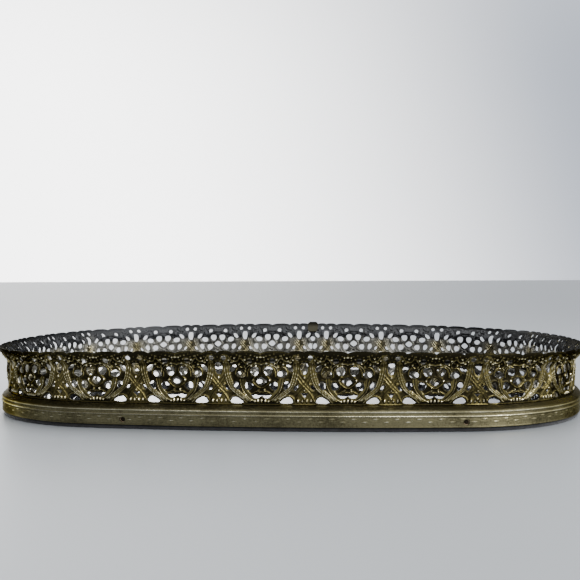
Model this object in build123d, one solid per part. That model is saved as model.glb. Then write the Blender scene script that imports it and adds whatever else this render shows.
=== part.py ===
from build123d import *
import math
import os

# Dresser tray: a pierced brass gallery on a mirror, held by a brass band round a wooden base.
# Millimetres. +Z is up, +X runs along the tray, -Y is its front. The origin is on the table, at
# the middle of the tray. "Out" is a distance outwards from the middle line of the gallery wall.

# Plan of the gallery wall: four bowed sides and four corners, all tangent arcs.
WALL_HALF_LENGTH = 183.0
WALL_HALF_WIDTH = 135.0
SIDE_RADIUS = 900.0
END_RADIUS = 238.0
CORNER_RADIUS = 82.0

# Heights, from the table up.
FELT_THICK = 2.5
BOARD_THICK = 5.95
CARD_THICK = 0.6
SILVER_THICK = 0.15
GLASS_THICK = 3.0
BOARD_Z = FELT_THICK
CARD_Z = BOARD_Z + BOARD_THICK
SILVER_Z = CARD_Z + CARD_THICK
GLASS_Z = SILVER_Z + SILVER_THICK
FLANGE_Z = GLASS_Z + GLASS_THICK

# Base band: sheet brass with a shoulder that presses the gallery's foot on to the glass.
BAND_SHEET = 0.7
BAND_OUT = 4.0
BAND_BOTTOM = 2.4
SHOULDER_LOW = 11.4
SHOULDER_HIGH = 13.4
SHOULDER_IN = 0.45
SHOULDER_BEND = 0.9
RIDGE_RADIUS = 0.45
RIDGE_HEIGHTS = (10.6, 8.4)
RIDGE_TRIM = (2 * RIDGE_RADIUS, 2 * RIDGE_RADIUS)

# Parts inside the band.
BOARD_OUT = 3.2
FELT_OUT = 3.0
GLASS_OUT = 1.5

# Gallery: one pressed brass strip with a turned foot and a flared, ogee top. The pillars of its
# pattern stand half a repeat from the strip's middle.
GALLERY_SHEET = 0.6
FLANGE_OUT = 0.6
FOOT_IN = -0.6
FOOT_BEND = 0.8
FLARE_START = 33.2
FLARE_ANGLE = 41.0
FLARE_RADIUS = 4.45
FLARE_SLOPE = 5.5
REPEATS = 23.5
STRIP_MIDDLE = -5.7
PILLAR_STEP = 0.5
END_GAP = 0.3
GAP_DEPTH = 30.0
GAP_HEIGHT = 120.0

# The largest openings of one repeat, from one pillar to the next, with a ring motif half-way.
# Steps are shares of a repeat, to each side of the pillar or of the ring.
ARCH_WIDTH = 7.4
ARCH_HEIGHT = 4.1
ARCH_Z = 14.4
ARCH_STEP = 0.216
SLOT_WIDTH = 4.0
SLOT_HEIGHT = 7.0
SLOT_Z = 32.0
OVAL_WIDTH = 5.4
OVAL_HEIGHT = 4.1
OVAL_Z = 30.5
OVAL_STEP = 0.236
DIAMOND_WIDTH = 5.8
DIAMOND_HEIGHT = 4.9
DIAMOND_Z = 26.6
UPPER_HOLE_RADIUS = 2.3
UPPER_HOLE_Z = 31.9
UPPER_HOLE_STEP = 0.079
LOWER_HOLE_RADIUS = 2.3
LOWER_HOLE_Z = 23.6
LOWER_HOLE_STEP = 0.153
CUT_DEPTH = 6.0

# Plate soldered over the meeting ends of the gallery strip, near the middle of the back.
PLATE_WIDTH = 8.5
PLATE_SHEET = 0.5
PLATE_RISE = 1.5
SOLDER_THICK = 0.15
SOLDER_MARGIN = 0.5

# Brads through the band into the edge of the board, a number of repeats of the strip apart.
# The last gap is shorter.
BRAD_COUNT = 6
BRAD_FIRST = -81.7
BRAD_STEP = 4.0
BRAD_Z = 5.3
BRAD_HOLE_RADIUS = 1.4
BRAD_HEAD_RADIUS = 1.2
BRAD_HEAD_THICK = 0.5
BRAD_SHANK_RADIUS = 0.6
BRAD_LENGTH = 9.0
BRAD_SET_BACK = 0.45


def plan_arcs():
    """The wall's eight arcs, anticlockwise from the middle of the front:
    centre x, centre y, radius, first angle and turn, in degrees."""
    side_x, side_y = 0.0, WALL_HALF_WIDTH - SIDE_RADIUS
    end_x, end_y = WALL_HALF_LENGTH - END_RADIUS, 0.0
    reach_side = SIDE_RADIUS - CORNER_RADIUS
    reach_end = END_RADIUS - CORNER_RADIUS
    apart = math.hypot(end_x - side_x, end_y - side_y)
    along = (reach_side**2 - reach_end**2 + apart**2) / (2 * apart)
    across = math.sqrt(reach_side**2 - along**2)
    step_x, step_y = (end_x - side_x) / apart, (end_y - side_y) / apart
    corner_x = side_x + along * step_x + across * step_y
    corner_y = side_y + along * step_y - across * step_x
    side_angle = math.degrees(math.atan2(corner_y - side_y, corner_x - side_x))
    end_angle = math.degrees(math.atan2(corner_y - end_y, corner_x - end_x))
    half_side = 90 - side_angle
    corner_turn = side_angle - end_angle
    return [
        (0, -side_y, SIDE_RADIUS, -90, half_side),
        (corner_x, -corner_y, CORNER_RADIUS, -side_angle, corner_turn),
        (end_x, 0, END_RADIUS, -end_angle, 2 * end_angle),
        (corner_x, corner_y, CORNER_RADIUS, end_angle, corner_turn),
        (0, side_y, SIDE_RADIUS, side_angle, 2 * half_side),
        (-corner_x, corner_y, CORNER_RADIUS, 180 - side_angle, corner_turn),
        (-end_x, 0, END_RADIUS, 180 - end_angle, 2 * end_angle),
        (-corner_x, -corner_y, CORNER_RADIUS, 180 + end_angle, corner_turn),
        (0, -side_y, SIDE_RADIUS, -90 - half_side, half_side),
    ]


ARCS = plan_arcs()
WALL_LENGTH = sum(radius * math.radians(turn) for _, _, radius, _, turn in ARCS)
PITCH = WALL_LENGTH / REPEATS


def plate(out, low, thick):
    """A flat plate with the tray's plan, its edge OUT beyond the wall line."""
    edges = [CenterArc((x, y), radius + out, start, turn) for x, y, radius, start, turn in ARCS]
    return extrude(Pos(0, 0, low) * make_face(edges), amount=thick)


def ring(profile):
    """Turn a section, drawn as (out, z), round every arc of the plan."""
    pieces = []
    for x, y, radius, start, turn in ARCS:
        angle = math.radians(start)
        outward = (math.cos(angle), math.sin(angle), 0)
        section = Plane(origin=(x, y, 0), x_dir=outward, z_dir=(outward[1], -outward[0], 0))
        pieces.append(revolve(section * Pos(radius, 0) * profile, Axis((x, y, 0), (0, 0, 1)), turn))
    return pieces[0].fuse(*pieces[1:])


def wall_place(distance):
    """The upright plane on the wall, DISTANCE anticlockwise from the middle of the front:
    its x runs along the wall, its y is up and its z points outwards."""
    left = distance % WALL_LENGTH
    for x, y, radius, start, turn in ARCS:
        length = radius * math.radians(turn)
        if left <= length:
            break
        left -= length
    angle = math.radians(start) + left / radius
    outward = (math.cos(angle), math.sin(angle), 0)
    point = (x + radius * outward[0], y + radius * outward[1], 0)
    return Plane(origin=point, x_dir=(-outward[1], outward[0], 0), z_dir=outward)


def strip_place(repeats):
    """The same, REPEATS of the pattern from the middle of the gallery strip's length."""
    return wall_place(STRIP_MIDDLE + repeats * PITCH)


def flare(inward):
    """The ogee of the gallery's top: a bend out, a slope and a bend back, INWARD of the wall."""
    bend = math.radians(FLARE_ANGLE)
    low = JernArc((-inward, FLARE_START), (0, 1), FLARE_RADIUS + inward, -FLARE_ANGLE)
    slope = Line(low @ 1, low @ 1 + Vector(math.sin(bend), math.cos(bend)) * FLARE_SLOPE)
    high = JernArc(slope @ 1, slope % 1, FLARE_RADIUS - inward, FLARE_ANGLE)
    return low, slope, high


def gallery_holes():
    """The openings of one repeat, drawn as (along the wall, z), each at its own place."""
    arch = make_face([
        Line((-ARCH_WIDTH / 2, 0), (ARCH_WIDTH / 2, 0)),
        ThreePointArc((ARCH_WIDTH / 2, 0), (0, ARCH_HEIGHT), (-ARCH_WIDTH / 2, 0)),
    ])
    half_width, half_height = DIAMOND_WIDTH / 2, DIAMOND_HEIGHT / 2
    corners = [(half_width, 0), (0, half_height), (-half_width, 0), (0, -half_height)]
    slot = RectangleRounded(SLOT_WIDTH, SLOT_HEIGHT, SLOT_WIDTH / 3)
    oval = Ellipse(OVAL_WIDTH / 2, OVAL_HEIGHT / 2)
    holes = [(0, SLOT_Z, slot), (0.5, DIAMOND_Z, Polygon(*corners))]
    for side in (-1, 1):
        holes.append((side * ARCH_STEP, ARCH_Z, arch))
        holes.append((0.5 + side * OVAL_STEP, OVAL_Z, oval))
        holes.append((0.5 + side * UPPER_HOLE_STEP, UPPER_HOLE_Z, Circle(UPPER_HOLE_RADIUS)))
        holes.append((0.5 + side * LOWER_HOLE_STEP, LOWER_HOLE_Z, Circle(LOWER_HOLE_RADIUS)))
    return holes


def gallery_strip():
    flange_z = FLANGE_Z + GALLERY_SHEET / 2
    foot = FilletPolyline(
        (FLANGE_OUT, flange_z), (FOOT_IN, flange_z), (0, FLARE_START), radius=FOOT_BEND
    )
    strip = ring(trace([foot, *flare(0)], GALLERY_SHEET))
    cutters = []
    half = REPEATS / 2
    for repeat in range(-math.ceil(half), math.ceil(half)):
        for step, height, hole in gallery_holes():
            spot = repeat + PILLAR_STEP + step
            if abs(spot) < half - PLATE_WIDTH / PITCH / 2:
                place = strip_place(spot) * Pos(0, height, -CUT_DEPTH / 2)
                cutters.append(extrude(place * hole, amount=CUT_DEPTH))
    ends = strip_place(half) * Box(END_GAP, GAP_HEIGHT, GAP_DEPTH)
    return strip.cut(*cutters, ends)


def joint_piece(line, sheet, width):
    """A narrow piece of bent sheet across the meeting ends of the strip, at the back."""
    turn = math.degrees(width / SIDE_RADIUS)
    off_middle = math.degrees(STRIP_MIDDLE / SIDE_RADIUS)
    centre_y = WALL_HALF_WIDTH - SIDE_RADIUS
    section = Plane(origin=(0, centre_y, 0), x_dir=(0, 1, 0), z_dir=(1, 0, 0))
    axis = Axis((0, centre_y, 0), (0, 0, 1))
    face = section * Pos(SIDE_RADIUS, 0) * trace(line, sheet)
    return revolve(face, axis, turn).rotate(axis, off_middle - turn / 2)


def rim_joint_plate():
    """The plate on the inner face of the flare, standing a little above the rim."""
    _, slope, high = flare(GALLERY_SHEET / 2 + SOLDER_THICK + PLATE_SHEET / 2)
    top = Line(high @ 1, high @ 1 + Vector(0, PLATE_RISE))
    return joint_piece([slope, high, top], PLATE_SHEET, PLATE_WIDTH)


def joint_solder():
    """The film of soft solder between the plate and both ends of the strip."""
    _, slope, high = flare(GALLERY_SHEET / 2 + SOLDER_THICK / 2)
    return joint_piece([slope, high], SOLDER_THICK, PLATE_WIDTH - 2 * SOLDER_MARGIN)


def brad_places():
    return [wall_place(BRAD_FIRST + BRAD_STEP * PITCH * count) for count in range(BRAD_COUNT)]


def base_band():
    middle = BAND_OUT - BAND_SHEET / 2
    line = FilletPolyline(
        (middle, BAND_BOTTOM), (middle, SHOULDER_LOW), (SHOULDER_IN, SHOULDER_HIGH),
        radius=SHOULDER_BEND,
    )
    profile = trace(line, BAND_SHEET)
    for height in RIDGE_HEIGHTS:
        ridge = Pos(BAND_OUT, height) * Circle(RIDGE_RADIUS)
        profile += ridge - Pos(BAND_OUT - RIDGE_RADIUS, height) * Rectangle(*RIDGE_TRIM)
    holes = [
        extrude(place * Pos(0, BRAD_Z, 0) * Circle(BRAD_HOLE_RADIUS), amount=BAND_OUT + 1)
        for place in brad_places()
    ]
    return ring(profile).cut(*holes)


def brad_solids():
    solids = []
    for place in brad_places():
        head_face = place * Pos(0, BRAD_Z, BAND_OUT - BRAD_SET_BACK)
        head = extrude(head_face * Circle(BRAD_HEAD_RADIUS), amount=-BRAD_HEAD_THICK)
        shank = extrude(head_face * Circle(BRAD_SHANK_RADIUS), amount=-BRAD_LENGTH)
        solids.append(head.fuse(shank))
    return solids


def base_board():
    return plate(BOARD_OUT, BOARD_Z, BOARD_THICK).cut(*brad_solids())


os.makedirs("parts", exist_ok=True)
nodes = {
    "gallery_strip": gallery_strip(),
    "rim_joint_plate": rim_joint_plate(),
    "joint_solder": joint_solder(),
    "base_band": base_band(),
    "band_brads": Compound(children=brad_solids()),
    "mirror_glass": plate(GLASS_OUT, GLASS_Z, GLASS_THICK),
    "mirror_silvering": plate(GLASS_OUT, SILVER_Z, SILVER_THICK),
    "card_liner": plate(GLASS_OUT, CARD_Z, CARD_THICK),
    "base_board": base_board(),
    "felt_pad": plate(FELT_OUT, 0, FELT_THICK),
}
for name, shape in nodes.items():
    export_step(shape, f"parts/{name}.step")
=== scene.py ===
import math

import bmesh
import bpy
import numpy as np
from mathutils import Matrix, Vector


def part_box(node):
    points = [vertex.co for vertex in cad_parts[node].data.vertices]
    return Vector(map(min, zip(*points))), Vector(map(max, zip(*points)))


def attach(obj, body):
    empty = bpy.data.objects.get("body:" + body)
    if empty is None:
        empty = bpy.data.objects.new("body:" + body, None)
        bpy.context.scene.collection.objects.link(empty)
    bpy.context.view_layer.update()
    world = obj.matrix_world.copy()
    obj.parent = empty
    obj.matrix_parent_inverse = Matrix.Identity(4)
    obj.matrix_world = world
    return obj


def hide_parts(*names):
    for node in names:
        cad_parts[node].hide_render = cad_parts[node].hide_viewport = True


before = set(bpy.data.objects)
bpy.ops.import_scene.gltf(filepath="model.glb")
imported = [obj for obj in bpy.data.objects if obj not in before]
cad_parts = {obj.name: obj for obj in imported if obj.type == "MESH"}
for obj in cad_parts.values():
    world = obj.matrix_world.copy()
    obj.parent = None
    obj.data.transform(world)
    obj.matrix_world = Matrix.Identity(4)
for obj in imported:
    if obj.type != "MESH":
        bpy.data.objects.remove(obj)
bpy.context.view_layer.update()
MM = 0.001


# ---- gallery strip -------------------------------------------------------------------------
# The gallery is one long strip of thin brass, pierced and pressed in a die that repeats from
# pillar to pillar, then flared at the top, bent round the tray and patinated dark. Its raised
# lines are worn bright. Its foot is turned outwards and held under the band's shoulder.

GLASS_EDGE_OUT = 1.5
SIDE_RADIUS, END_RADIUS, CORNER_RADIUS = 900.0, 238.0, 82.0
REPEATS = 23.5
STRIP_MIDDLE = -5.7
PATH_STEP = 2.0


def wall_arcs():
    """The plan of the wall in millimetres, as tangent arcs anticlockwise from mid-front:
    centre, radius, first angle and turn."""
    _, glass_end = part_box("mirror_glass")
    half_length = glass_end[0] / MM - GLASS_EDGE_OUT
    half_width = glass_end[1] / MM - GLASS_EDGE_OUT
    side = np.array([0.0, half_width - SIDE_RADIUS])
    end = np.array([half_length - END_RADIUS, 0.0])
    apart = np.linalg.norm(end - side)
    reach_side, reach_end = SIDE_RADIUS - CORNER_RADIUS, END_RADIUS - CORNER_RADIUS
    along = (reach_side**2 - reach_end**2 + apart**2) / (2 * apart)
    across = math.sqrt(reach_side**2 - along**2)
    step = (end - side) / apart
    corner = side + along * step + across * np.array([step[1], -step[0]])
    low = math.atan2(corner[1], corner[0] - end[0])
    high = math.atan2(corner[1] - side[1], corner[0])
    arcs = []
    for turn in (0, math.pi):
        flip = -1 if turn else 1
        arcs += [
            (-flip * side, SIDE_RADIUS, turn - math.pi / 2, math.pi / 2 - high),
            (flip * corner * [1, -1], CORNER_RADIUS, turn - high, high - low),
            (flip * end, END_RADIUS, turn - low, 2 * low),
            (flip * corner, CORNER_RADIUS, turn + low, high - low),
            (flip * side, SIDE_RADIUS, turn + high, math.pi / 2 - high),
        ]
    return arcs


def wall_line():
    """A closed curve along the middle of the gallery wall, at table height."""
    points = []
    for centre, radius, start, turn in wall_arcs():
        count = math.ceil(radius * turn / PATH_STEP)
        for index in range(count):
            angle = start + turn * index / count
            points.append(centre + radius * np.array([math.cos(angle), math.sin(angle)]))
    curve = bpy.data.curves.new("wall_line", "CURVE")
    curve.dimensions = "3D"
    spline = curve.splines.new("POLY")
    spline.points.add(len(points) - 1)
    for point, (x, y) in zip(spline.points, points):
        point.co = (x * MM, y * MM, 0, 1)
    spline.use_cyclic_u = True
    line = bpy.data.objects.new("wall_line", curve)
    bpy.context.scene.collection.objects.link(line)
    return line


WALL_LINE = wall_line()
WALL_LENGTH = sum(radius * turn for _, radius, _, turn in wall_arcs())
PITCH = WALL_LENGTH / REPEATS
RING_X = PITCH / 2

SHEET = 0.6
GLASS_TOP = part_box("mirror_glass")[1][2] / MM
FOOT_OUT, FOOT_BEND, FOOT_LEAN = 0.6, 0.8, -0.6
FLARE_START, FLARE_ANGLE, FLARE_RADIUS, FLARE_SLOPE = 33.2, math.radians(41), 4.45, 5.5
FLARE_TURN = FLARE_RADIUS * math.sin(FLARE_ANGLE)
FLARE_STRAIGHT = FLARE_SLOPE * math.cos(FLARE_ANGLE)
RIM_Z = 43.4
CELL = PITCH / 116

# Each opening: distance from the pillar, height, width, height of the hole, lean of its top
# away from the pillar in degrees, squareness, and how much wider it is at the top.
OPENINGS = (
    (0.0, 34.0, 3.9, 7.4, 0, 2.8, 0.08),
    (3.35, 39.75, 2.7, 2.5, 0, 2.0, 0.0),
    (7.8, 33.7, 2.7, 5.0, 40, 2.0, -0.15),
    (12.1, 30.5, 5.2, 3.9, 12, 2.0, 0.0),
    (16.9, 38.0, 3.1, 3.0, 0, 2.0, 0.0),
    (19.45, 32.0, 4.6, 5.0, -8, 2.3, 0.22),
    (RING_X, 26.7, 5.6, 4.7, 0, 1.35, 0.0),
    (16.3, 23.9, 4.3, 4.4, 20, 2.2, 0.2),
    (9.7, 24.2, 3.1, 4.7, -22, 2.1, 0.25),
    (4.6, 23.0, 1.8, 3.2, -35, 2.0, 0.0),
)
# The arch at the foot, between pillar and ring, whose peak is nearer the pillar; the triangle
# that stands on its point in the pillar; and the crescent below the ring, with a cusp in its
# lower edge and turned-up tips.
ARCH_LOW, ARCH_IN, ARCH_OUT, ARCH_HIGH, ARCH_PEAK = 14.5, 5.6, 14.0, 18.0, -0.25
ARCH_ROUND, ARCH_INNER_POWER, ARCH_OUTER_POWER = 1.5, 2.4, 1.7
TRIANGLE_TOP, TRIANGLE_LOW, TRIANGLE_HALF = 20.2, 17.8, 2.0
CRESCENT_TOP, CRESCENT_WAVE, CRESCENT_LOW, CRESCENT_HALF = 19.6, 0.15, 17.3, 5.9
CUSP_RISE, CUSP_HALF, TIP_START, TIP_CURVE = 1.3, 1.2, 2.9, 0.3

# The lobes of the scalloped top, a small one each side of the pillar and a broad one to the
# ring: middle, half-width, height, drop at the ends and power of the curve.
LOBES = ((3.75, 4.1, RIM_Z, 1.0, 3), (15.5, 7.55, RIM_Z - 0.1, 1.25, 3.4))

# Raised work of the relief: half-width, height, how bright it is worn, and its line, from the
# pillar's centre line. First the broad straps, then the fine ribs.
SWEEPS = (
    (1.7, 0.55, 0.46, ((4.3, 40.5), (4.4, 34.0), (5.4, 28.6), (7.6, 23.2), (11.4, 19.6), (16.0, 16.6))),
    (1.1, 0.45, 0.42, ((13.0, 27.6), (13.6, 23.6), (15.4, 20.6), (18.4, 17.6), (20.8, 16.2))),
    (0.34, 0.80, 1.0, ((3.0, 38.0), (3.1, 33.5), (4.0, 28.2), (6.2, 23.0), (10.2, 19.4), (13.8, 17.0))),
    (0.36, 0.85, 1.0, ((5.7, 36.8), (5.8, 32.0), (6.8, 27.6), (8.7, 23.2), (12.2, 20.2), (17.2, 15.8))),
    (0.30, 0.95, 0.9, ((4.4, 37.4), (4.5, 32.6), (5.4, 28.0), (7.4, 23.0), (11.4, 19.8), (15.6, 16.3))),
    (0.36, 0.80, 1.0, ((11.6, 27.4), (12.3, 23.6), (13.8, 20.4), (17.0, 17.0), (20.0, 15.4))),
    (0.32, 0.75, 0.9, ((14.1, 27.0), (14.5, 23.6), (15.8, 21.4), (17.6, 19.2), (19.4, 17.4))),
    (0.34, 0.70, 0.55, ((5.8, 31.0), (3.0, 27.0), (0.0, 23.4), (-3.2, 19.8), (-5.4, 15.6))),
    (0.30, 0.60, 0.45, ((3.6, 30.6), (1.6, 27.6), (-1.2, 24.2), (-4.0, 21.0))),
    (0.36, 0.75, 0.9, ((14.2, 29.6), (14.4, 32.6), (15.8, 35.0), (18.4, 36.4), (21.4, 36.6), (23.8, 36.2))),
    (0.30, 0.65, 0.7, ((15.6, 29.0), (15.7, 32.0), (17.0, 34.4), (19.4, 35.6))),
    (0.34, 0.75, 0.9, ((9.2, 30.4), (9.6, 33.0), (11.6, 34.6), (13.4, 33.8), (14.6, 36.6), (12.4, 39.6))),
    (0.32, 0.70, 0.8, ((5.9, 40.4), (8.0, 38.0), (10.8, 38.4), (12.0, 41.0))),
    (0.32, 0.70, 0.7, ((20.0, 29.4), (18.4, 27.2), (20.2, 24.6), (RING_X, 23.0), (26.0, 24.6))),
    (0.30, 0.65, 0.8, ((17.8, 19.9), (20.4, 21.2), (RING_X, 20.7), (26.2, 21.2))),
    (0.34, 0.60, 0.8, ((5.2, 15.4), (6.4, 18.0), (9.4, 19.0), (12.4, 17.4), (15.0, 15.0))),
    (0.36, 0.45, 0.5, ((0.0, 14.0), (6.0, 13.9), (12.0, 14.0), (18.0, 14.0), (24.0, 14.0))),
)
# Beads and drops: distance from the pillar, height, half-width and half-height.
BEADS = (
    (1.2, 15.8, 0.55, 1.1),
    (3.5, 15.9, 0.6, 1.15),
    (0.0, 17.0, 0.5, 0.5),
    (RING_X, 16.0, 0.6, 1.15),
    (21.1, 15.9, 0.6, 1.1),
    (19.4, 15.7, 0.5, 0.7),
    (7.3, 37.4, 0.75, 0.5),
    (5.8, 38.7, 0.5, 0.5),
    (9.0, 39.6, 0.5, 0.5),
    (11.2, 36.3, 0.55, 0.55),
    (14.6, 38.8, 0.6, 0.55),
    (15.7, 36.8, 0.5, 0.5),
    (17.6, 35.6, 0.5, 0.45),
    (20.1, 35.4, 0.5, 0.45),
    (14.0, 33.9, 0.55, 0.5),
    (18.5, 27.2, 0.65, 0.65),
    (21.4, 22.0, 0.5, 0.55),
    (2.9, 25.0, 0.5, 0.55),
    (0.0, 28.6, 0.55, 0.8),
    (0.0, 21.6, 0.5, 0.6),
    (RING_X, 40.2, 0.8, 0.5),
    (21.2, 40.0, 0.5, 0.5),
)
# The plain swells under the raised work, the frames round the openings and the hem of the
# rim, with where each fades out on the way up.
SWELL, MEDALLION_Z, MEDALLION_WIDE, MEDALLION_TALL, PILLAR_WIDE = 0.75, 27.5, 9.5, 8.5, 3.4
PILLAR_FOOT, FLARE_FADE = (15, 22), (37.5, RIM_Z - 1.2)
FRAME_OFF, FRAME_HALF, FRAME_RISE, FRAME_SHINE = 0.5, 0.34, 0.42, 0.2
HEM_OFF, HEM_HALF, HEM_RISE, HEM_SHINE = 0.5, 0.4, 0.25, 0.15
# Small chased marks on the flare, and the plain metal of the pillars, rubbed a little.
CHASED_FOOT, CHASED_FADE, CHASED_RISE, CHASED_SHINE = (34, 36), (41, 42.4), 0.25, 0.9
RUBBED, RUBBED_WIDE, RUBBED_FADE = 0.34, 7.0, (33.5, 36.5)
# The inside is slate grey, except behind the pillars, where it stayed gilt. Low down it is lighter, partly a
# paler patina and partly a painted reflection of the mirror floor, fading out on the way up.
GILT, GILT_WIDE, GILT_FADE = 0.75, 5.0, (28, 32)
INSIDE_WEAR_AND_REFLECTION, INSIDE_WEAR_AND_REFLECTION_FADE = (0.3, 0.6), (30.0, 34.0)
# Metal this near an edge is drawn whole, and a slope is taken over this distance.
SLIVER, NEARBY = 0.02, 0.02


def smooth(value, low, high):
    """0 below low, 1 above high, and an easy curve between them."""
    share = np.clip((value - low) / (high - low), 0, 1)
    return share * share * (3 - 2 * share)


def opening_depth(x, z):
    """How far, in millimetres, each place is from the nearest opening: negative inside one."""
    nearest = np.full_like(x, 99.0)
    for centre, height, wide, tall, lean, square, taper in OPENINGS:
        for side in (centre, 2 * RING_X - centre, -centre):
            turn = math.radians(lean if side == centre else -lean)
            u = (x - side) * math.cos(turn) - (z - height) * math.sin(turn)
            v = (x - side) * math.sin(turn) + (z - height) * math.cos(turn)
            u = u / (1 + taper * v / (tall / 2))
            reach = (np.abs(2 * u / wide) ** square + np.abs(2 * v / tall) ** square) ** (1 / square)
            nearest = np.minimum(nearest, (reach - 1) * min(wide, tall) / 2)
    middle = (ARCH_IN + ARCH_OUT) / 2
    half = (ARCH_OUT - ARCH_IN) / 2
    lean = np.clip((x - middle) / half, -1, 1) - ARCH_PEAK
    inner = np.abs(lean / (1 + ARCH_PEAK)) ** ARCH_INNER_POWER
    outer = np.abs(lean / (1 - ARCH_PEAK)) ** ARCH_OUTER_POWER
    roof = ARCH_LOW + (ARCH_HIGH - ARCH_LOW) * (1 - np.where(lean < 0, inner, outer))
    sill = ARCH_LOW + ARCH_ROUND * (np.abs(x - middle) / half) ** 4
    arch = np.maximum(np.maximum(z - roof, sill - z), np.abs(x - middle) - half)
    slope = TRIANGLE_HALF / (TRIANGLE_TOP - TRIANGLE_LOW)
    triangle = np.maximum(z - TRIANGLE_TOP, (x - slope * (z - TRIANGLE_LOW)) / math.hypot(1, slope))
    off = np.abs(x - RING_X)
    brow = CRESCENT_TOP + CRESCENT_WAVE * np.cos(off)
    cusp = CUSP_RISE * np.exp(-((off / CUSP_HALF) ** 2))
    lip = CRESCENT_LOW + cusp + TIP_CURVE * np.clip(off - TIP_START, 0, None) ** 2
    crescent = np.maximum(np.maximum(z - brow, lip - z), off - CRESCENT_HALF)
    return np.minimum.reduce([nearest, arch, triangle, crescent])


def rim_height(x):
    """The scalloped top, as a height at each distance from the pillar."""
    return np.maximum.reduce([
        top - drop * np.abs((x - middle) / half) ** power for middle, half, top, drop, power in LOBES
    ])


def line_through(points, count=14):
    """Catmull-Rom curve through the points of one raised line."""
    p = np.array([points[0], *points, points[-1]], float)
    t = np.linspace(0, 1, count, endpoint=False)[:, None]
    out = []
    for a, b, c, d in zip(p, p[1:], p[2:], p[3:]):
        out.append(
            b + t * (c - a) / 2 + t**2 * (2 * a - 5 * b + 4 * c - d) / 2 + t**3 * (3 * b - a - 3 * c + d) / 2
        )
    return np.vstack(out + [p[-1:]])


def relief(x, z):
    """Height of the pressing in millimetres, and how bright it is worn, from 0 to 1."""
    ridges, shine = np.zeros_like(x), np.zeros_like(x)
    for half, rise, bright, points in SWEEPS:
        line = line_through(points)
        for way in (line, line * [-1, 1]):
            gap = np.full_like(x, 99.0)
            for a, b in zip(way, way[1:]):
                run = b - a
                share = ((x - a[0]) * run[0] + (z - a[1]) * run[1]) / (run @ run)
                share = np.clip(share, 0, 1)
                gap = np.minimum(gap, np.hypot(x - a[0] - share * run[0], z - a[1] - share * run[1]))
            bulge = np.exp(-((gap / half) ** 2))
            ridges = np.maximum(ridges, bulge * rise)
            shine = np.maximum(shine, bulge**3 * bright)
    for centre, height, wide, tall in BEADS:
        reach = ((x - centre) / wide) ** 2 + ((z - height) / tall) ** 2
        bulge = np.sqrt(np.clip(1.15 - reach, 0, None))
        ridges = np.maximum(ridges, bulge)
        shine = np.maximum(shine, bulge)
    edge = opening_depth(x, z)
    frames = np.exp(-(((edge - FRAME_OFF) / FRAME_HALF) ** 2))
    hem = np.exp(-(((rim_height(x) - z - HEM_OFF) / HEM_HALF) ** 2))
    across = (x - RING_X) / MEDALLION_WIDE
    medallion = SWELL * np.exp(-(across**2) - ((z - MEDALLION_Z) / MEDALLION_TALL) ** 2)
    pillar = SWELL * np.exp(-((x / PILLAR_WIDE) ** 2)) * smooth(z, *PILLAR_FOOT)
    raised = np.maximum.reduce([ridges, FRAME_RISE * frames, HEM_RISE * hem])
    height = (raised + medallion + pillar) * smooth(z, FOOT_TURN + 0.3, FOOT_TURN + 1.1)
    height *= 1 - smooth(z, *FLARE_FADE)
    rubbed = RUBBED * np.exp(-((x / RUBBED_WIDE) ** 2)) * (1 - smooth(z, *RUBBED_FADE))
    chased = np.clip(np.sin(1.7 * x + 0.9 * z) * np.sin(2.6 * z - 0.8 * x), 0, 1) ** 3
    chased *= CHASED_SHINE * smooth(z, *CHASED_FOOT) * (1 - smooth(z, *CHASED_FADE))
    height += CHASED_RISE * chased
    worn = np.maximum.reduce([shine, FRAME_SHINE * frames, HEM_SHINE * hem, rubbed, chased])
    return height, worn


FOOT_TURN = GLASS_TOP + SHEET / 2 + FOOT_BEND
FLANGE_END = FOOT_TURN - FOOT_BEND * math.pi / 2 - (FOOT_OUT - FOOT_LEAN - FOOT_BEND)


def sheet_path(z):
    """Where the middle of the plain sheet runs, out and up, by its height before the foot was
    turned out: the foot's flange and bend, the slightly leaning wall, and the ogee flare."""
    out = FOOT_LEAN * (1 - smooth(z, FOOT_TURN, FLARE_START))
    bend = np.clip(FOOT_TURN - z, 0, FOOT_BEND * math.pi / 2) / FOOT_BEND
    flange = np.clip(FOOT_TURN - FOOT_BEND * math.pi / 2 - z, 0, None)
    out += FOOT_BEND * (1 - np.cos(bend)) + flange
    up = np.maximum(z, FOOT_TURN) - FOOT_BEND * np.sin(bend)
    low = np.clip(z - FLARE_START, 0, FLARE_TURN)
    high = FLARE_TURN - np.clip(z - FLARE_START - FLARE_TURN - FLARE_STRAIGHT, 0, FLARE_TURN)
    out += FLARE_RADIUS - np.sqrt(FLARE_RADIUS**2 - low**2)
    out += np.clip(z - FLARE_START - FLARE_TURN, 0, FLARE_STRAIGHT) * math.tan(FLARE_ANGLE)
    out += np.sqrt(FLARE_RADIUS**2 - high**2) - FLARE_RADIUS * math.cos(FLARE_ANGLE)
    return out, up


def pierced_outline(xs, zs, solid):
    """Marching squares on a grid: the points and faces of the region where solid is above 0."""
    places, index, faces = [], {}, []

    def corner(i, j):
        if (i, j) not in index:
            index[(i, j)] = len(places)
            places.append((xs[i], zs[j]))
        return index[(i, j)]

    def crossing(here, there):
        here, there = sorted((here, there))
        if (here, there) not in index:
            share = solid[here] / (solid[here] - solid[there])
            index[(here, there)] = len(places)
            places.append((
                xs[here[0]] + share * (xs[there[0]] - xs[here[0]]),
                zs[here[1]] + share * (zs[there[1]] - zs[here[1]]),
            ))
        return index[(here, there)]

    for i in range(len(xs) - 1):
        for j in range(len(zs) - 1):
            around = [(i, j), (i + 1, j), (i + 1, j + 1), (i, j + 1)]
            loop = []
            for here, there in zip(around, around[1:] + around[:1]):
                if solid[here] > 0:
                    loop.append(corner(*here))
                if (solid[here] > 0) != (solid[there] > 0):
                    loop.append(crossing(here, there))
            if loop:
                faces.append(loop)
    return np.array(places), faces


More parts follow.
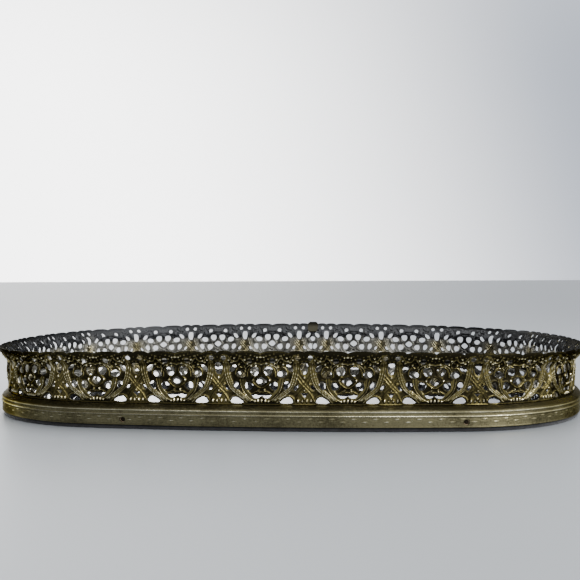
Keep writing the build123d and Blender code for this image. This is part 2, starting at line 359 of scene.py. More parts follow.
def sheet_mesh(name, sides, faces, left_open=None):
    """A piece of sheet: its front faces, the same on its back, and walls along its cut edges,
    except where left_open is true at both ends of an edge."""
    count = len(sides[0])
    if left_open is None:
        left_open = [False] * count
    edges = {pair for face in faces for pair in zip(face, face[1:] + face[:1])}
    walls = []
    for a, b in edges:
        if (b, a) not in edges and not (left_open[a] and left_open[b]):
            walls.append([b, a, a + count, b + count])
    backs = [[v + count for v in reversed(face)] for face in faces]
    mesh = bpy.data.meshes.new(name)
    mesh.from_pydata((np.vstack(sides) * MM).tolist(), [], faces + backs + walls)
    mesh.update()
    mesh.shade_smooth()
    mesh.set_sharp_from_angle(angle=math.radians(50))
    return mesh


def store_value(mesh, name, values):
    """Keeps a number at each point of a mesh, for its material to read."""
    mesh.attributes.new(name, "FLOAT", "POINT").data.foreach_set("value", values)


def repeat_mesh():
    """One repeat of the strip, laid flat along X: both faces of the sheet and the cut edges
    of its openings, without end faces."""
    xs = np.linspace(-RING_X, RING_X, round(PITCH / CELL) + 1)
    zs = np.arange(FLANGE_END, RIM_Z + CELL, CELL)
    gx, gz = np.meshgrid(xs, zs, indexing="ij")
    ax = np.abs(gx)
    solid = np.minimum(opening_depth(ax, gz), rim_height(ax) - gz)
    solid = np.where(np.abs(solid) < SLIVER, SLIVER, solid)
    flat, faces = pierced_outline(xs, zs, solid)
    height, worn = relief(np.abs(flat[:, 0]), flat[:, 1])
    out, up = sheet_path(flat[:, 1])
    ahead_out, ahead_up = sheet_path(flat[:, 1] + NEARBY)
    behind_out, behind_up = sheet_path(flat[:, 1] - NEARBY)
    run_out, run_up = ahead_out - behind_out, ahead_up - behind_up
    length = np.hypot(run_out, run_up)
    normal_out, normal_up = run_up / length, -run_out / length
    sides = []
    for offset in (height + SHEET / 2, height - SHEET / 2):
        sides.append(np.c_[flat[:, 0], -(out + normal_out * offset), up + normal_up * offset])
    on_end = np.abs(np.abs(flat[:, 0]) - RING_X) < 1e-6
    mesh = sheet_mesh("gallery_repeat", sides, faces, on_end)
    # The inside is painted lighter low down: partly a paler patina, partly a painted reflection of the
    # mirror floor.
    plain, spread = INSIDE_WEAR_AND_REFLECTION
    worn_and_reflection_inside = (plain + spread * worn) * (1 - smooth(flat[:, 1], *INSIDE_WEAR_AND_REFLECTION_FADE))
    gilt = GILT * np.exp(-((flat[:, 0] / GILT_WIDE) ** 2)) * (1 - smooth(flat[:, 1], *GILT_FADE))
    store_value(mesh, "worn", np.r_[worn, worn_and_reflection_inside])
    store_value(mesh, "inside", np.r_[worn * 0, 1 - gilt])
    return mesh


REPEAT = repeat_mesh()


def add_node(tree, kind, *inputs, **settings):
    """A new node: inputs are links or plain values, in the order of the node's sockets;
    settings are its own properties."""
    node = tree.nodes.new(kind)
    for name, value in settings.items():
        setattr(node, name, value)
    for place, value in enumerate(inputs):
        if value is None:
            continue
        if isinstance(value, bpy.types.NodeSocket):
            tree.links.new(value, node.inputs[place])
        else:
            node.inputs[place].default_value = value
    return node


def math_node(tree, operation, *inputs):
    """The result of one sum on numbers."""
    return add_node(tree, "ShaderNodeMath", *inputs, operation=operation).outputs[0]


def vector_node(tree, operation, *inputs):
    """The result of one sum on vectors."""
    node = tree.nodes.new("ShaderNodeVectorMath")
    node.operation = operation
    places = [0, 3] if operation == "SCALE" else range(3)
    for place, value in zip(places, inputs):
        if isinstance(value, bpy.types.NodeSocket):
            tree.links.new(value, node.inputs[place])
        else:
            node.inputs[place].default_value = value
    return node.outputs[1 if operation in ("DOT_PRODUCT", "LENGTH") else 0]


def modifier_tree(name, sockets):
    """An empty Geometry Nodes tree with a geometry input and the named ones."""
    tree = bpy.data.node_groups.new(name, "GeometryNodeTree")
    tree.interface.new_socket("Geometry", in_out="INPUT", socket_type="NodeSocketGeometry")
    for label, kind in sockets:
        tree.interface.new_socket(label, in_out="INPUT", socket_type=f"NodeSocket{kind}")
    tree.interface.new_socket("Geometry", in_out="OUTPUT", socket_type="NodeSocketGeometry")
    return tree, tree.nodes.new("NodeGroupInput").outputs


def finished_mesh(name, start, tree, values):
    """A plain object made by running a tree once on the start mesh with the given inputs."""
    piece = bpy.data.objects.new(name, start)
    bpy.context.scene.collection.objects.link(piece)
    modifier = piece.modifiers.new("shape", "NODES")
    modifier.node_group = tree
    for item in tree.interface.items_tree:
        if item.in_out == "INPUT" and item.name in values:
            modifier[item.identifier] = values[item.name]
    bpy.context.view_layer.update()
    graph = bpy.context.evaluated_depsgraph_get()
    result = bpy.data.meshes.new_from_object(piece.evaluated_get(graph), depsgraph=graph)
    piece.modifiers.clear()
    piece.data = result
    result.name = name
    return piece


def along_wall(tree, line, distance):
    """The place on the wall line and the way outwards, a distance from mid-front."""
    looped = math_node(tree, "FLOORED_MODULO", distance, WALL_LENGTH * MM)
    info = add_node(tree, "GeometryNodeObjectInfo", line)
    sample = tree.nodes.new("GeometryNodeSampleCurve")
    sample.mode = "LENGTH"
    tree.links.new(info.outputs["Geometry"], sample.inputs["Curves"])
    tree.links.new(looped, sample.inputs["Length"])
    outward = vector_node(tree, "CROSS_PRODUCT", sample.outputs["Tangent"], (0, 0, 1))
    return sample.outputs["Position"], vector_node(tree, "NORMALIZE", outward)


WELD = 0.002


def strip_tree():
    """Lays repeats end to end, trims the row's ends, bends it round the wall line and joins
    the repeats. The row sinks a little away from the middle of the tray's long sides."""
    tree, given = modifier_tree("bend_round_tray", (
        ("Wall Line", "Object"), ("First", "Float"), ("Count", "Int"), ("Pitch", "Float"),
        ("Row Half", "Float"), ("Start", "Float"), ("Foot", "Float"), ("Sink", "Float"),
        ("Sink Reach", "Float"), ("Brass", "Material"),
    ))
    shape, line, first, count, pitch, half, start, foot, sink, reach, brass = given[:11]
    step = add_node(tree, "ShaderNodeCombineXYZ", pitch)
    begin = add_node(tree, "ShaderNodeCombineXYZ", math_node(tree, "MULTIPLY", first, pitch))
    row = add_node(tree, "GeometryNodeMeshLine", count, None, begin.outputs[0], step.outputs[0])
    copies = add_node(tree, "GeometryNodeInstanceOnPoints", row.outputs[0], None, shape)
    real = add_node(tree, "GeometryNodeRealizeInstances", copies.outputs[0])
    place = tree.nodes.new("GeometryNodeInputPosition").outputs[0]
    x, y, z = add_node(tree, "ShaderNodeSeparateXYZ", place).outputs
    beyond = add_node(tree, "FunctionNodeCompare", math_node(tree, "ABSOLUTE", x), half)
    trimmed = add_node(tree, "GeometryNodeDeleteGeometry", real.outputs[0], beyond.outputs[0], domain="FACE")
    spot, outward = along_wall(tree, line, math_node(tree, "ADD", x, start))
    off_middle = add_node(tree, "ShaderNodeSeparateXYZ", spot).outputs[0]
    away = math_node(tree, "DIVIDE", math_node(tree, "ABSOLUTE", off_middle), reach)
    share = math_node(tree, "MINIMUM", math_node(tree, "POWER", away, 2.0), 1.0)
    share = math_node(tree, "MULTIPLY", share, sink)
    above = math_node(tree, "MAXIMUM", math_node(tree, "SUBTRACT", z, foot), 0.0)
    height = math_node(tree, "SUBTRACT", z, math_node(tree, "MULTIPLY", above, share))
    out = vector_node(tree, "SCALE", outward, math_node(tree, "MULTIPLY", y, -1.0))
    rise = add_node(tree, "ShaderNodeCombineXYZ", None, None, height).outputs[0]
    bent = vector_node(tree, "ADD", vector_node(tree, "ADD", spot, out), rise)
    moved = add_node(tree, "GeometryNodeSetPosition", trimmed.outputs[0], None, bent)
    joined = add_node(tree, "GeometryNodeMergeByDistance", moved.outputs[0])
    joined.inputs["Distance"].default_value = WELD * MM
    painted = add_node(tree, "GeometryNodeSetMaterial", joined.outputs[0], None, brass)
    add_node(tree, "NodeGroupOutput", painted.outputs[0])
    return tree


def close_ends(piece):
    """Fills the cut ends of a length of sheet, so that it is a closed solid."""
    shell = bmesh.new()
    shell.from_mesh(piece.data)
    rim = [edge for edge in shell.edges if len(edge.link_faces) == 1]
    caps = bmesh.ops.holes_fill(shell, edges=rim, sides=0)["faces"]
    for edge in rim:
        edge.smooth = False
    for face in caps:
        face.material_index = 0
    shell.to_mesh(piece.data)
    shell.free()


def add_colour(tree, amount, first, second):
    """First colour where amount is 0, second where it is 1."""
    mix = tree.nodes.new("ShaderNodeMix")
    mix.data_type = "RGBA"
    for place, value in ((0, amount), (6, first), (7, second)):
        if isinstance(value, bpy.types.NodeSocket):
            tree.links.new(value, mix.inputs[place])
        else:
            mix.inputs[place].default_value = value if place == 0 else (*value, 1)
    return mix.outputs[2]


def noise(tree, place, scale, detail=3.0, rough=0.55):
    """A cloudy pattern from 0 to 1, about scale patches to the metre."""
    node = add_node(tree, "ShaderNodeTexNoise", place, None, scale, detail, rough)
    return node.outputs[0]


def ramp(tree, value, low, high):
    """smooth(), as a node."""
    node = tree.nodes.new("ShaderNodeMapRange")
    node.interpolation_type = "SMOOTHSTEP"
    tree.links.new(value, node.inputs[0])
    node.inputs[1].default_value = low
    node.inputs[2].default_value = high
    return node.outputs[0]


# The second grey, which the inside takes low down, is partly dust and partly a painted reflection of the
# mirror floor.
SLATE, DUST_AND_REFLECTION = (0.040, 0.042, 0.047), (0.25, 0.255, 0.26)
BRASS_GLOSS = (0.22, 0.21, 0.17, 1)
BRASS_PATCHES, BRASS_SPECKS, BRASS_GRAIN = 45.0, 900.0, 0.35
GRAIN_DEPTH = 0.0002


def add_grain(tree, grain, strength, shader):
    """Makes a surface finely uneven."""
    bump = tree.nodes.new("ShaderNodeBump")
    bump.inputs["Strength"].default_value = strength
    bump.inputs["Distance"].default_value = GRAIN_DEPTH
    tree.links.new(grain, bump.inputs["Height"])
    tree.links.new(bump.outputs[0], shader.inputs["Normal"])


def antique_brass(name, dark, warm, bright, rough, wear):
    """Patinated brass: nearly black in the recesses, olive gold on the plain metal, and worn
    bright where the worn attribute is high."""
    material = bpy.data.materials.new(name)
    material.use_nodes = True
    tree = material.node_tree
    shader = tree.nodes["Principled BSDF"]
    place = tree.nodes.new("ShaderNodeTexCoord").outputs["Object"]
    worn = add_node(tree, "ShaderNodeAttribute", attribute_name="worn").outputs["Fac"]
    patches = noise(tree, place, BRASS_PATCHES, 4.0)
    specks = noise(tree, place, BRASS_SPECKS, 3.0, 0.7)
    broken = math_node(tree, "MULTIPLY", math_node(tree, "SUBTRACT", specks, 0.5), 0.5)
    drift = math_node(tree, "MULTIPLY", math_node(tree, "SUBTRACT", patches, 0.5), 0.7)
    level = math_node(tree, "ADD", math_node(tree, "ADD", worn, broken), drift)
    plain = add_colour(tree, ramp(tree, level, 0.05, 0.5), dark, warm)
    colour = add_colour(tree, ramp(tree, level, wear, wear + 0.35), plain, bright)
    # On the inside the colour turns grey: slate up on the flare, lighter low down, where it is partly a
    # painted reflection of the mirror floor.
    inside = add_node(tree, "ShaderNodeAttribute", attribute_name="inside").outputs["Fac"]
    dust_and_reflection = math_node(tree, "MULTIPLY", inside, ramp(tree, level, 0.1, 0.5))
    grey = add_colour(tree, ramp(tree, level, 0.1, 0.6), SLATE, DUST_AND_REFLECTION)
    colour = add_colour(tree, math_node(tree, "MULTIPLY", inside, 0.75), colour, grey)
    tree.links.new(colour, shader.inputs["Base Color"])
    polish = math_node(tree, "MULTIPLY_ADD", ramp(tree, level, 0.1, 0.9), -0.22, rough)
    tree.links.new(polish, shader.inputs["Roughness"])
    bare = math_node(tree, "MULTIPLY_ADD", dust_and_reflection, -0.35, 1.0)
    tree.links.new(bare, shader.inputs["Metallic"])
    shader.inputs["Specular Tint"].default_value = BRASS_GLOSS
    add_grain(tree, specks, BRASS_GRAIN, shader)
    return material


GALLERY_BRASS = antique_brass(
    "gallery_brass", (0.020, 0.017, 0.009), (0.17, 0.142, 0.052), (0.88, 0.80, 0.56), 0.42, 0.55
)
SINK, SINK_REACH = 0.086, 150.0
LENGTHS = 6
BEND = strip_tree()


def bent_round(name, shape, first, count, pitch, start, paint, half=2 * WALL_LENGTH, sink=0.0):
    """A row of one shape, bent round the tray: FIRST is the first copy's place, in pitches
    from START, which is a distance anticlockwise from mid-front."""
    return finished_mesh(name, shape, BEND, {
        "Wall Line": WALL_LINE, "First": first, "Count": count, "Pitch": pitch * MM,
        "Row Half": half * MM, "Start": start * MM, "Foot": FOOT_TURN * MM, "Sink": sink,
        "Sink Reach": SINK_REACH * MM, "Brass": paint,
    })


PILLARS = math.ceil(REPEATS)
for length in range(LENGTHS):
    count = PILLARS // LENGTHS
    first = 0.5 + length * count - PILLARS // 2
    lengthwise = bent_round(
        f"gallery_length_{length + 1}", REPEAT, first, count, PITCH, STRIP_MIDDLE, GALLERY_BRASS,
        half=REPEATS / 2 * PITCH, sink=SINK,
    )
    close_ends(lengthwise)
    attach(lengthwise, "root")
    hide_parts("gallery_strip")


# ---- rim joint plate -----------------------------------------------------------------------
# A plain little plate of brass sheet bridges the strip's meeting ends at the back. It is cut
# with rounded corners, bent to the flare, stands a little above the rim and was never polished.

PLATE_HALF, PLATE_SHEET, PLATE_RISE, PLATE_CORNER = 4.25, 0.5, 1.5, 2.4
SOLDER_FILM = 0.15
PLATE_SET_IN = SHEET / 2 + SOLDER_FILM + PLATE_SHEET / 2
PLATE_LOW = FLARE_START + FLARE_TURN
PLATE_TOP = PLATE_LOW + FLARE_STRAIGHT + FLARE_TURN + PLATE_RISE
PLATE_ROWS, PLATE_COLUMNS = 17, 11


def plate_mesh():
    """The plate laid flat along X: two faces and the cut edge round them."""
    easing = 0.5 - 0.5 * np.cos(np.linspace(0, math.pi, PLATE_ROWS))
    zs = PLATE_TOP - (PLATE_TOP - PLATE_LOW) * easing
    shares = np.linspace(-1, 1, PLATE_COLUMNS)
    from_end = np.minimum(PLATE_TOP - zs, zs - PLATE_LOW)
    reach = np.clip(PLATE_CORNER - from_end, 0, None)
    rounding = np.sqrt(PLATE_CORNER**2 - np.minimum(reach, 0.97 * PLATE_CORNER) ** 2)
    half = PLATE_HALF - PLATE_CORNER + rounding
    share, row = np.meshgrid(shares, np.arange(PLATE_ROWS), indexing="ij")
    out, up = sheet_path(zs)
    ahead_out, ahead_up = sheet_path(zs + NEARBY)
    length = np.hypot(ahead_out - out, ahead_up - up)
    normal_out, normal_up = (ahead_up - up) / length, (out - ahead_out) / length
    sides = []
    for offset in (PLATE_SHEET / 2 - PLATE_SET_IN, -PLATE_SHEET / 2 - PLATE_SET_IN):
        face_out, face_up = out + normal_out * offset, up + normal_up * offset
        sides.append(np.stack([share * half[row], -face_out[row], face_up[row]], axis=-1).reshape(-1, 3))
    faces = []
    for i in range(PLATE_COLUMNS - 1):
        for j in range(PLATE_ROWS - 1):
            a, b = i * PLATE_ROWS + j, (i + 1) * PLATE_ROWS + j
            faces.append([a, a + 1, b + 1, b])
    return sheet_mesh("rim_joint_cover", sides, faces)


PLATE_BRASS = antique_brass(
    "plate_brass", (0.030, 0.028, 0.020), (0.10, 0.092, 0.06), (0.4, 0.37, 0.25), 0.5, 0.75
)
cover = bent_round(
    "rim_joint_cover", plate_mesh(), 0, 1, 1.0, STRIP_MIDDLE + WALL_LENGTH / 2, PLATE_BRASS
)
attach(cover, "root")
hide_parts("rim_joint_plate")


# ---- joint solder --------------------------------------------------------------------------
# A thin film of soft solder, dull grey and slightly pitted, holds the plate to both ends.


def dress(node, material):
    """Gives a carried-over part its finish."""
    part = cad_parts[node]
    part.data.materials.clear()
    part.data.materials.append(material)


def plain_finish(name, colours, rough, scale, metallic=0.0, bumps=0.0, uneven=0.2):
    """A material whose colour drifts between two shades and whose surface is finely uneven."""
    material = bpy.data.materials.new(name)
    material.use_nodes = True
    tree = material.node_tree
    shader = tree.nodes["Principled BSDF"]
    place = tree.nodes.new("ShaderNodeTexCoord").outputs["Object"]
    drift = ramp(tree, noise(tree, place, scale), 0.3, 0.7)
    grain = noise(tree, place, scale * 12, 4.0, 0.7)
    tree.links.new(add_colour(tree, drift, *colours), shader.inputs["Base Color"])
    roughness = math_node(tree, "MULTIPLY_ADD", grain, uneven, rough - uneven / 2)
    tree.links.new(roughness, shader.inputs["Roughness"])
    shader.inputs["Metallic"].default_value = metallic
    add_grain(tree, grain, bumps, shader)
    return material


SOLDER = plain_finish("soft_solder", ((0.33, 0.33, 0.32), (0.22, 0.22, 0.22)), 0.5, 400, 0.9, 0.5)
dress("joint_solder", SOLDER)


# ---- base band -----------------------------------------------------------------------------
# The band is brass strip rolled with a sloping shoulder, two raised lines, a plain swelling at
# its lower edge and a low leaf scroll between them, bent round the base, brazed into a ring and
# punched for six brads. It has the same dark patina, rubbed bright on its raised lines.

BAND_OUT, BAND_LOW, BAND_SHEET = 4.0, 2.4, 0.7
SHOULDER_LOW, SHOULDER_HIGH, SHOULDER_IN = 11.35, 13.78, 0.45
RIDGE_HEIGHTS, RIDGE_HALF, RIDGE_RISE = (10.6, 8.4), 0.42, 0.42
SCROLL_Z, SCROLL_SWING, SCROLLS = 6.2, 0.6, 94
STEM_HALF, LEAF_LONG, LEAF_TALL, LEAF_OFF, LEAF_RISE = 0.3, 1.9, 0.5, 0.75, 0.16
SCROLL_FOOT, SCROLL_FADE = (3.6, 4.4), (7.2, 7.7)
LOW_EDGE_UP, LOW_EDGE_HALF, LOW_EDGE_RISE = 0.35, 0.3, 0.1
SCROLL = WALL_LENGTH / SCROLLS
BRAD_FIRST, BRAD_Z, BRAD_COUNT, BRAD_HOLE = -81.7, 5.3, 6, 1.4
BRAD_STEP = 4 * PITCH


def band_section():
    """The section as (out, z): up the outer face, in along the shoulder, and back inside.
    Also how far each point belongs to the outer face, from 0 to 1."""
    face = [(BAND_OUT, z) for z in np.linspace(BAND_LOW + 0.15, SHOULDER_LOW - 0.3, 34)]
    start = (BAND_OUT - 0.12, BAND_LOW)
    bend = [(BAND_OUT - 0.08, SHOULDER_LOW), (BAND_OUT - 0.3, SHOULDER_LOW + 0.3)]
    slope = [
        (BAND_OUT - 0.3 + share * (SHOULDER_IN + 0.3 - BAND_OUT), SHOULDER_LOW + 0.3
         + share * (SHOULDER_HIGH - SHOULDER_LOW - 0.3))
        for share in (0.2, 0.4, 0.6, 0.8, 0.95)
    ]
    lip = [(SHOULDER_IN, SHOULDER_HIGH - 0.12), (SHOULDER_IN, SHOULDER_HIGH - BAND_SHEET)]
    inside = [(BAND_OUT - BAND_SHEET, SHOULDER_LOW - 0.3), (BAND_OUT - BAND_SHEET, BAND_LOW)]
    section = np.array([start] + face + bend + slope + lip + inside)
    outer = np.array([0] + [1] * len(face) + [0] * (len(section) - len(face) - 1))
    return section, outer


def scroll_relief(along, z):
    """A waving stem with a leaf in each of its hollows, as a height from 0 to 1."""
    turn = 2 * math.pi * along / SCROLL
    stem = np.exp(-(((z - SCROLL_Z - SCROLL_SWING * np.sin(turn)) / STEM_HALF) ** 2))
    leaves = np.zeros_like(stem)
    for share, side in ((0.25, -1), (0.75, 1)):
        off = (along / SCROLL - share + 0.5) % 1 - 0.5
        reach = (off * SCROLL / LEAF_LONG) ** 2 + ((z - SCROLL_Z - side * LEAF_OFF) / LEAF_TALL) ** 2
        leaves = np.maximum(leaves, np.sqrt(np.clip(1 - reach, 0, None)))
    return np.maximum(0.55 * stem, leaves)


def band_repeat():
    """One length of scroll, laid flat, without end faces."""
    section, outer = band_section()
    columns = np.linspace(0, SCROLL, 17)
    along, index = np.meshgrid(columns, np.arange(len(section)), indexing="ij")
    out, z = section[index, 0], section[index, 1]
    face = outer[index]
    leaf = scroll_relief(along, z) * face * smooth(z, *SCROLL_FOOT) * (1 - smooth(z, *SCROLL_FADE))
    ridge = sum(np.exp(-(((z - height) / RIDGE_HALF) ** 4)) for height in RIDGE_HEIGHTS) * face
    low_edge = np.exp(-(((z - BAND_LOW - LOW_EDGE_UP) / LOW_EDGE_HALF) ** 2)) * face
    out = out + LEAF_RISE * leaf + RIDGE_RISE * ridge + LOW_EDGE_RISE * low_edge
    worn = np.maximum.reduce([0.1 + 0.2 * face, 0.7 * leaf, 0.7 * ridge, 0.4 * low_edge])
    size = len(section)
    faces = []
    for i in range(len(columns) - 1):
        for j in range(size):
            a, b = i * size + j, i * size + (j + 1) % size
            faces.append([a, a + size, b + size, b])
    places = np.stack([along, -out, z], axis=-1).reshape(-1, 3) * MM
    mesh = bpy.data.meshes.new("band_repeat")
    mesh.from_pydata(places.tolist(), [], faces)
    mesh.update()
    store_value(mesh, "worn", worn.reshape(-1))
    mesh.shade_smooth()
    return mesh


def lathe(name, profile, segments=24):
    """A turned shape on the outward axis, from (radius, out) points that start and end on it."""
    places, faces = [(0, -profile[0][1], BRAD_Z)], []
    for radius, out in profile[1:-1]:
        for step in range(segments):
            angle = 2 * math.pi * step / segments
            places.append((radius * math.cos(angle), -out, BRAD_Z + radius * math.sin(angle)))
    places.append((0, -profile[-1][1], BRAD_Z))
    last = len(places) - 1
    rings = len(profile) - 2
    for step in range(segments):
        after = (step + 1) % segments
        faces.append([0, 1 + step, 1 + after])
        for ring in range(rings - 1):
            low, high = 1 + ring * segments, 1 + (ring + 1) * segments
            faces.append([low + step, high + step, high + after, low + after])
        faces.append([last, last - segments + after, last - segments + step])
    mesh = bpy.data.meshes.new(name)
    mesh.from_pydata((np.array(places) * MM).tolist(), [], faces)
    mesh.shade_smooth()
    return mesh


BAND_BRASS = antique_brass(
    "band_brass", (0.055, 0.049, 0.026), (0.25, 0.225, 0.125), (0.80, 0.75, 0.56), 0.40, 0.52
)
band = bent_round("brass_base_band", band_repeat(), 0, SCROLLS, SCROLL, 0, BAND_BRASS)
PUNCH_FROM, PUNCH_TO = 6.0, 2.6
punch_line = [(0, PUNCH_FROM), (BRAD_HOLE, PUNCH_FROM), (BRAD_HOLE, PUNCH_TO), (0, PUNCH_TO)]
punch_shape = lathe("punch", punch_line, 32)
punch = bent_round("punch", punch_shape, 0, BRAD_COUNT, BRAD_STEP, BRAD_FIRST, BAND_BRASS)
cut = band.modifiers.new("punch", "BOOLEAN")
cut.object = punch
cut.solver = "MANIFOLD"
bpy.context.view_layer.update()
graph = bpy.context.evaluated_depsgraph_get()
punched = bpy.data.meshes.new_from_object(band.evaluated_get(graph), depsgraph=graph)
band.modifiers.clear()
band.data = punched
punched.name = "brass_base_band"
punched.set_sharp_from_angle(angle=math.radians(38))
bpy.data.objects.remove(punch)
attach(band, "root")
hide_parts("base_band")


# ---- band brads ----------------------------------------------------------------------------
# Six small brass brads, driven through the band into the board's edge until their domed heads
# sat below the band's face, where the tarnish was never rubbed off.

BRAD_PROFILE = (
    (0, 3.54), (0.55, 3.52), (0.95, 3.42), (1.16, 3.26), (1.2, 3.08), (0.62, 3.04), (0.6, 2.8),
    (0.6, -4.6), (0.25, -5.3), (0, -5.4),
)
BRAD_BRASS = plain_finish("brad_brass", ((0.012, 0.009, 0.006), (0.035, 0.026, 0.014)), 0.7, 700, 0.9, 0.6)
brads = bent_round(
    "brass_brads", lathe("brad", BRAD_PROFILE), 0, BRAD_COUNT, BRAD_STEP, BRAD_FIRST, BRAD_BRASS
)
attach(brads, "root")
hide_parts("band_brads")


# ---- mirror glass --------------------------------------------------------------------------
# The mirror floor is 3 mm float glass with a polished edge, lying on its silvered back.

GLASS_TINT, GLASS_BENDING = (0.93, 0.97, 0.955, 1), 1.52
WIPES, WIPE_ROUGHNESS = 22.0, 0.06
float_glass = bpy.data.materials.new("clear_glass")
float_glass.use_nodes = True
glass_nodes = float_glass.node_tree
clear = glass_nodes.nodes["Principled BSDF"]
clear.inputs["Base Color"].default_value = GLASS_TINT
clear.inputs["Transmission Weight"].default_value = 1.0
clear.inputs["IOR"].default_value = GLASS_BENDING
glass_place = glass_nodes.nodes.new("ShaderNodeTexCoord").outputs["Object"]
wipes = ramp(glass_nodes, noise(glass_nodes, glass_place, WIPES, 4.0), 0.45, 0.8)
glass_nodes.links.new(math_node(glass_nodes, "MULTIPLY", wipes, WIPE_ROUGHNESS), clear.inputs["Roughness"])
dress("mirror_glass", float_glass)


# ---- mirror silvering ----------------------------------------------------------------------
# The silvered and painted back of the glass. Age has clouded it a little in soft patches.

SILVER = plain_finish("mirror_silver", ((0.90, 0.91, 0.90), (0.84, 0.85, 0.84)), 0.06, 14, 1.0, uneven=0.004)
dress("mirror_silvering", SILVER)


# ---- card liner ----------------------------------------------------------------------------
# Grey pasteboard between the silvered back and the board, cut to the glass.

dress("card_liner", plain_finish("grey_card", ((0.42, 0.40, 0.36), (0.50, 0.47, 0.42)), 0.95, 60, 0.0, 0.4))


# ---- base board ----------------------------------------------------------------------------
# The board is pressed wood fibre, sawn to the plan and left raw. The brads go into its edge.

dress("base_board", plain_finish("base_wood", ((0.30, 0.20, 0.12), (0.42, 0.30, 0.19)), 0.85, 90, 0.0, 0.7))


# ---- felt pad ------------------------------------------------------------------------------
# Black wool felt, glued under the board and trimmed just inside the band. The tray stands on
# it. Its cut edge is soft and slightly uneven.

FELT_OUT = 3.0
FELT_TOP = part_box("felt_pad")[1][2] / MM
# The cut edge from the top face down: how far in, and how far up as a share of the thickness.
FELT_EDGE = (
    (0.6, 1.0), (0.15, 0.97), (0.02, 0.85), (0.0, 0.6), (0.03, 0.35), (0.12, 0.15), (0.3, 0.03), (0.8, 0.0),
)


def felt_mesh():
    """The pad as rings of points along its rounded edge, closed by flat faces."""
    stations = []
    for centre, radius, start, turn in wall_arcs():
        count = math.ceil(radius * turn / PATH_STEP)
        for index in range(count):
            angle = start + turn * index / count
            stations.append((centre, radius, math.cos(angle), math.sin(angle)))
    count = len(stations)
    uneven = np.random.default_rng(7).uniform(-0.06, 0.0, (len(FELT_EDGE), count))
    places = []
    for row, (inset, share) in enumerate(FELT_EDGE):
        for column, (centre, radius, x, y) in enumerate(stations):
            reach = radius + FELT_OUT - inset + uneven[row, column]
            places.append((centre[0] + reach * x, centre[1] + reach * y, FELT_TOP * share))
    faces = [list(range(count)), list(range(len(places) - 1, len(places) - count - 1, -1))]
    for row in range(len(FELT_EDGE) - 1):
        for column in range(count):
            a, b = row * count + column, row * count + (column + 1) % count
            faces.append([b, a, a + count, b + count])
    mesh = bpy.data.meshes.new("black_felt_pad")
    mesh.from_pydata((np.array(places) * MM).tolist(), [], faces)
    mesh.polygons.foreach_set("use_smooth", [len(face) == 4 for face in faces])
    mesh.update()
    return mesh


BLACK_FELT = plain_finish("black_felt", ((0.010, 0.010, 0.012), (0.022, 0.022, 0.025)), 0.97, 260, 0.0, 0.9)
BLACK_FELT.node_tree.nodes["Principled BSDF"].inputs["Sheen Weight"].default_value = 0.25
felt = bpy.data.objects.new("black_felt_pad", felt_mesh())
felt.data.materials.append(BLACK_FELT)
bpy.context.scene.collection.objects.link(felt)
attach(felt, "root")
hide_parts("felt_pad")


# ---- stage ---------------------------------------------------------------------------------
# A plain pale floor, soft studio light and the camera.

FLOOR_HALF, FLOOR_COLOUR, FLOOR_ROUGHNESS = 30, (0.25, 0.265, 0.28, 1), 0.45
floor_corners = [(x * FLOOR_HALF, y * FLOOR_HALF, 0) for x, y in ((-1, -1), (1, -1), (1, 1), (-1, 1))]
floor_mesh = bpy.data.meshes.new("floor")
floor_mesh.from_pydata(floor_corners, [], [(0, 1, 2, 3)])
floor = bpy.data.objects.new("floor", floor_mesh)
bpy.context.scene.collection.objects.link(floor)
floor_paint = bpy.data.materials.new("floor_paint")
floor_paint.use_nodes = True
floor_shader = floor_paint.node_tree.nodes["Principled BSDF"]
floor_shader.inputs["Base Color"].default_value = FLOOR_COLOUR
floor_shader.inputs["Roughness"].default_value = FLOOR_ROUGHNESS
floor_mesh.materials.append(floor_paint)

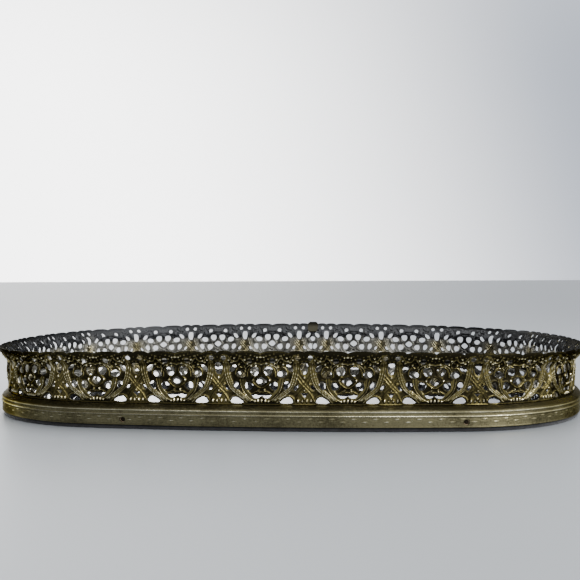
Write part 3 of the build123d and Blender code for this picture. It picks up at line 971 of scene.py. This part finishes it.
# The room: a white wall behind the tray that falls off to the right, a dark room in front that
# is lighter to the right, and a ceiling that does the same.
BACK_WALL, BACK_WALL_RIGHT = (1.0, 1.0, 1.0), (0.12, 0.132, 0.155)
CEILING, CEILING_RIGHT = (0.06, 0.06, 0.06), (0.50, 0.51, 0.52)
ROOM, ROOM_RIGHT = (0.012, 0.012, 0.011), (0.26, 0.26, 0.25)
ROOM_BRIGHTNESS = 5.5
world = bpy.data.worlds.new("studio")
bpy.context.scene.world = world
world.use_nodes = True
sky = world.node_tree
look = sky.nodes.new("ShaderNodeTexCoord").outputs["Generated"]
toward = add_node(sky, "ShaderNodeSeparateXYZ", look).outputs
across = math_node(sky, "MULTIPLY_ADD", toward[2], 0.35, toward[0])
wall_colour = add_colour(sky, ramp(sky, across, -0.32, 0.34), BACK_WALL, BACK_WALL_RIGHT)
room_colour = add_colour(sky, ramp(sky, toward[0], -0.05, 0.6), ROOM, ROOM_RIGHT)
all_round = add_colour(sky, ramp(sky, toward[1], 0.0, 0.5), room_colour, wall_colour)
ceiling_colour = add_colour(sky, ramp(sky, toward[0], -0.5, 0.6), CEILING, CEILING_RIGHT)
all_round = add_colour(sky, ramp(sky, toward[2], 0.2, 0.7), all_round, ceiling_colour)
sky.links.new(all_round, sky.nodes["Background"].inputs["Color"])
sky.nodes["Background"].inputs["Strength"].default_value = ROOM_BRIGHTNESS


def soft_box(name, place, aim, size, power):
    """A square soft light, aimed at a point; its side is in metres and its power in watts."""
    lamp = bpy.data.lights.new(name, "AREA")
    lamp.size = size
    lamp.energy = power
    thing = bpy.data.objects.new(name, lamp)
    thing.location = place
    thing.rotation_euler = (Vector(aim) - Vector(place)).to_track_quat("-Z", "Y").to_euler()
    bpy.context.scene.collection.objects.link(thing)


soft_box("top_light", (-0.1, 0.2, 1.1), (0, 0, 0), 0.8, 11.0)
soft_box("right_light", (0.75, -0.65, 0.45), (0.10, 0, 0.02), 0.22, 6.0)
soft_box("front_light", (0.25, -1.0, 0.75), (0.05, 0, 0.02), 0.25, 2.4)

CAMERA_PLACE = (0.0493, -0.5928, 0.0814)
CAMERA_TURN, CAMERA_TILT, CAMERA_ROLL = 0.086, -0.013, -0.004
CAMERA_LENS = 53.4
lens = bpy.data.cameras.new("camera")
lens.lens = CAMERA_LENS
lens.sensor_width = 36.0
camera = bpy.data.objects.new("camera", lens)
forward = Vector((-math.sin(CAMERA_TURN), math.cos(CAMERA_TURN), math.tan(CAMERA_TILT)))
camera.location = CAMERA_PLACE
camera.rotation_euler = forward.to_track_quat("-Z", "Y").to_euler()
camera.rotation_euler.rotate_axis("Z", CAMERA_ROLL)
bpy.context.scene.collection.objects.link(camera)
bpy.context.scene.camera = camera

# The wall line was only a guide.
bpy.data.objects.remove(WALL_LINE)
